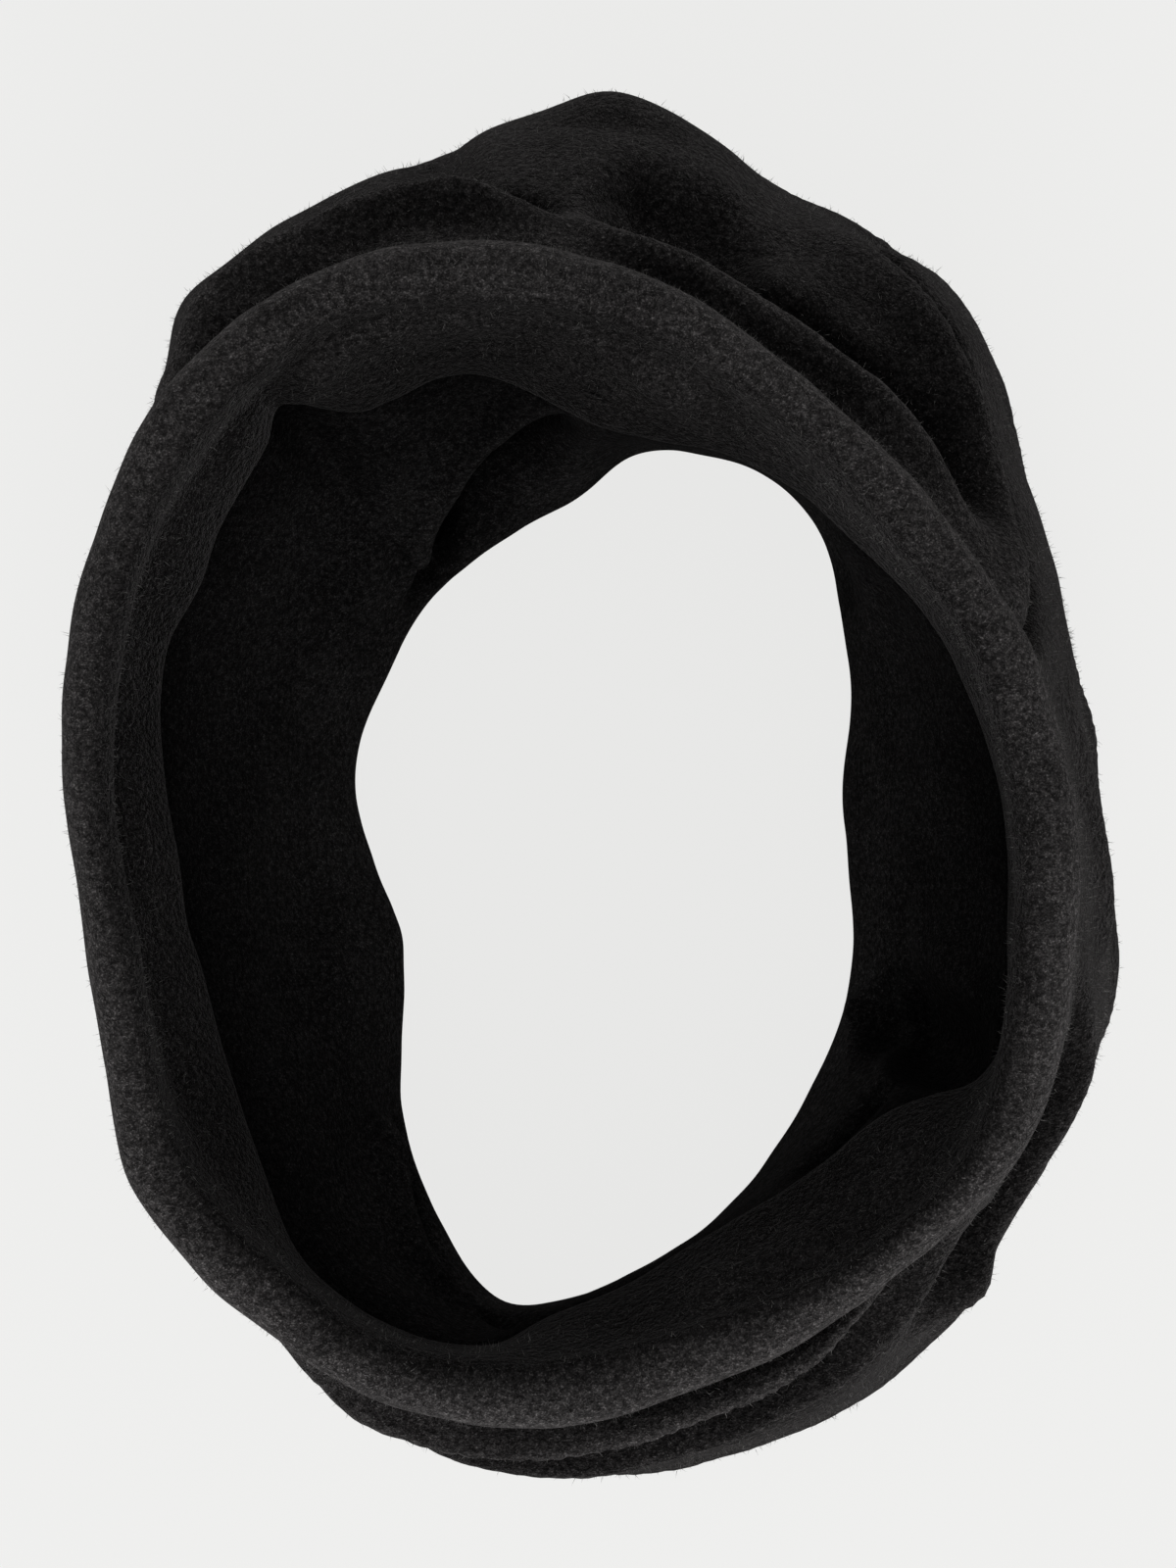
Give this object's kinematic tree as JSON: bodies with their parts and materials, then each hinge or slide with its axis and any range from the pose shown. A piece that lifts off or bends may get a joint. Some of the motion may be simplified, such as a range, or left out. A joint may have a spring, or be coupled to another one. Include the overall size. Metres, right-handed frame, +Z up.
{
  "type": "neck gaiter",
  "caption": "Doubled black fleece neck gaiter: an outer shell and a lining joined by rolled hems, standing slouched on its lower rim with its neck opening upward.",
  "frame": {"origin": "on the floor, under the middle of the gaiter's bounding box as it stands on its lower hem", "axes": "+Z up through the neck opening, +Y along the opening's long way, +X across it"},
  "size_m": [0.1825, 0.2435, 0.115],
  "materials": {
    "shell_fleece": "brushed fleece pile",
    "lining_fleece": "brushed fleece pile",
    "thread": "spun polyester thread",
    "label_tape": "woven satin tape"
  },
  "bodies": {
    "root": {"outer_shell": "shell_fleece", "lining": "lining_fleece", "upper_hem": "shell_fleece", "lower_hem": "shell_fleece", "shell_back_seam": "shell_fleece", "lining_back_seam": "lining_fleece", "upper_rim_seam": "lining_fleece", "lower_rim_seam": "lining_fleece", "closing_stitches": "thread", "care_label": "label_tape", "care_label_stitches": "thread"}
  },
  "joints": []
}
